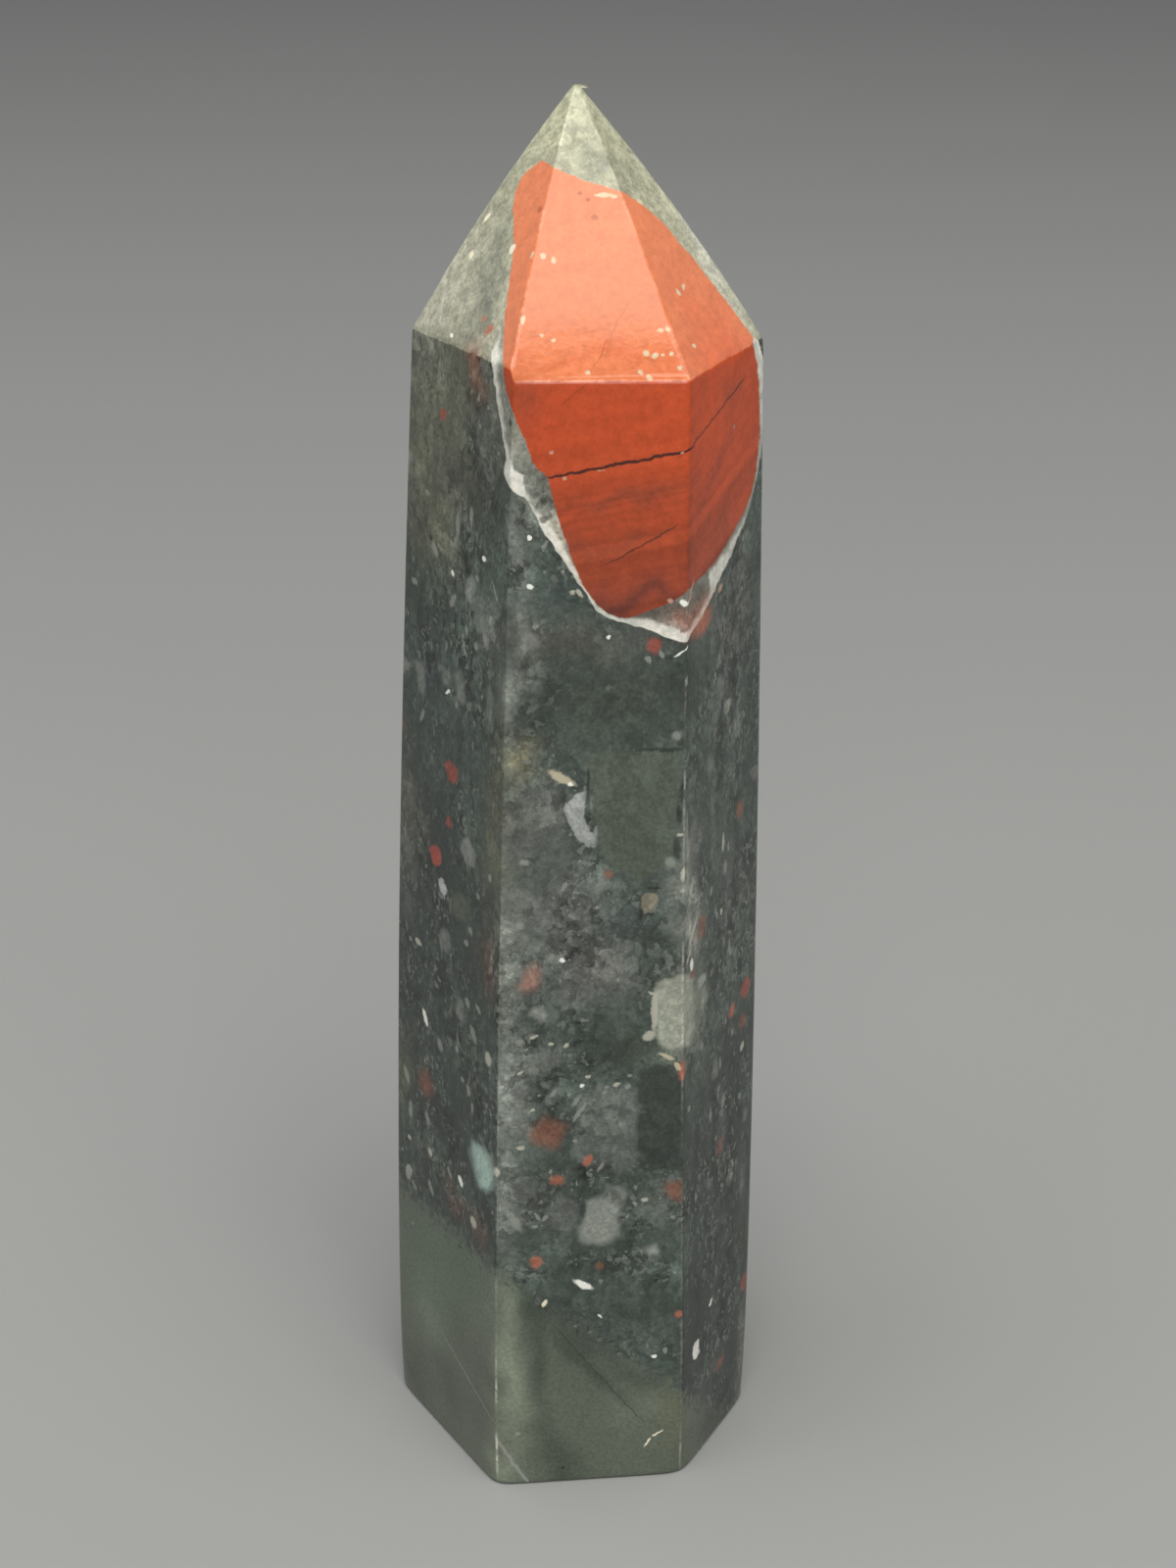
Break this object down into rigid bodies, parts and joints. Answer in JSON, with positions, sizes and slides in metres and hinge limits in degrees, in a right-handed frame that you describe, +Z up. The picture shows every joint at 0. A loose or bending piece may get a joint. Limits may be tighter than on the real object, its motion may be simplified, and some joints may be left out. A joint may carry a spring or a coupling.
{
  "type": "bloodstone tower",
  "caption": "Freestanding polished stone tower: a tapering hexagonal prism of dark green bloodstone with a large red patch, ground to a pointed tip and flat underneath.",
  "frame": {"origin": "middle of the flat base, where the axis of the tower meets the surface it stands on", "axes": "+Z up along the tower to its tip; -Y out of the broad front face; +X to the right seen from the front"},
  "size_m": [0.0242, 0.0213, 0.0897],
  "materials": {
    "polished_bloodstone": "glassy polish; dark green to grey-green with a large brick-red patch near the tip, white veins and small red spots"
  },
  "bodies": {
    "root": {"bloodstone_tower": "polished_bloodstone"}
  },
  "joints": []
}
